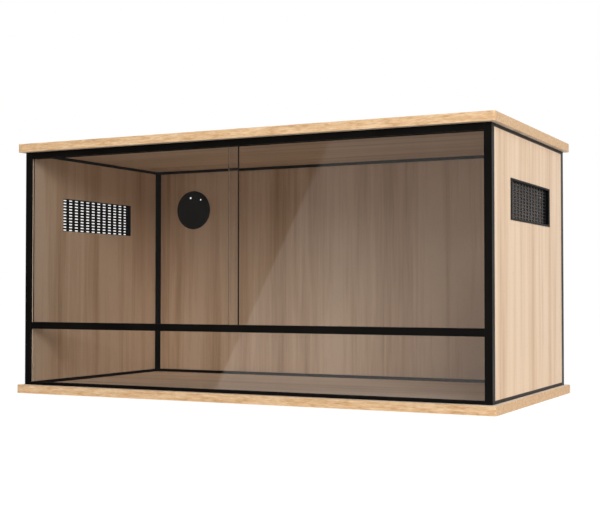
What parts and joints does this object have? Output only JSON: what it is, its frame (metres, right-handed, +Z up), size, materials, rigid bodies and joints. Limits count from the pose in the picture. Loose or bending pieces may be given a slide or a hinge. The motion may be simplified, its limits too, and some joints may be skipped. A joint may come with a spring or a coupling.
{
  "type": "terrarium cabinet",
  "caption": "Low oak-look terrarium cabinet: overhanging boards, thin black frame, sliding glass doors above a fixed pane, slotted side vents and a capped cable port in the back.",
  "frame": {"origin": "centre of the bottom board's underside, midway across the overall width and depth", "axes": "+X to the right as seen from the glazed front, -Y towards the glazed front, +Z up"},
  "size_m": [0.908, 0.456, 0.457],
  "materials": {
    "oak_board": "light oak grain melamine, edge banded, satin",
    "oak_panel": "light oak grain melamine, upright grain, satin",
    "black_frame": "satin black extrusion",
    "clear_glass": "clear float glass with ground edges",
    "black_vent": "moulded black plastic, fine texture",
    "black_port": "moulded black plastic, soft sheen",
    "zinc_screw": "zinc plated"
  },
  "bodies": {
    "cabinet": {"bottom_board": "oak_board", "bottom_screw_front_left": "zinc_screw", "bottom_screw_front_right": "zinc_screw", "bottom_screw_back_left": "zinc_screw", "bottom_screw_back_right": "zinc_screw", "top_board": "oak_board", "top_screw_front_left": "zinc_screw", "top_screw_front_right": "zinc_screw", "top_screw_back_left": "zinc_screw", "top_screw_back_right": "zinc_screw", "front_post_left": "black_frame", "front_post_right": "black_frame", "back_post_left": "black_frame", "back_post_right": "black_frame", "left_bottom_strip": "black_frame", "left_top_strip": "black_frame", "left_panel": "oak_panel", "left_vent": "black_vent", "right_bottom_strip": "black_frame", "right_top_strip": "black_frame", "right_panel": "oak_panel", "right_vent": "black_vent", "back_bottom_strip": "black_frame", "back_top_strip": "black_frame", "back_panel": "oak_panel", "bottom_rail": "black_frame", "mid_rail": "black_frame", "top_track": "black_frame", "fixed_lower_glass": "clear_glass", "cable_port_sleeve": "black_port"},
    "left_door": {"left_door_glass": "clear_glass"},
    "right_door": {"right_door_glass": "clear_glass"},
    "port_cap": {"cable_port_cap": "black_port"}
  },
  "joints": [
    {"name": "left_door_slide", "type": "slide", "parent": "cabinet", "child": "left_door", "axis": [1, 0, 0], "range_m": [0, 0.4285]},
    {"name": "right_door_slide", "type": "slide", "parent": "cabinet", "child": "right_door", "axis": [1, 0, 0], "range_m": [-0.4125, 0]},
    {"name": "port_cap_pull", "type": "slide", "parent": "cabinet", "child": "port_cap", "axis": [0, -1, 0], "range_m": [0, 0.02]}
  ]
}
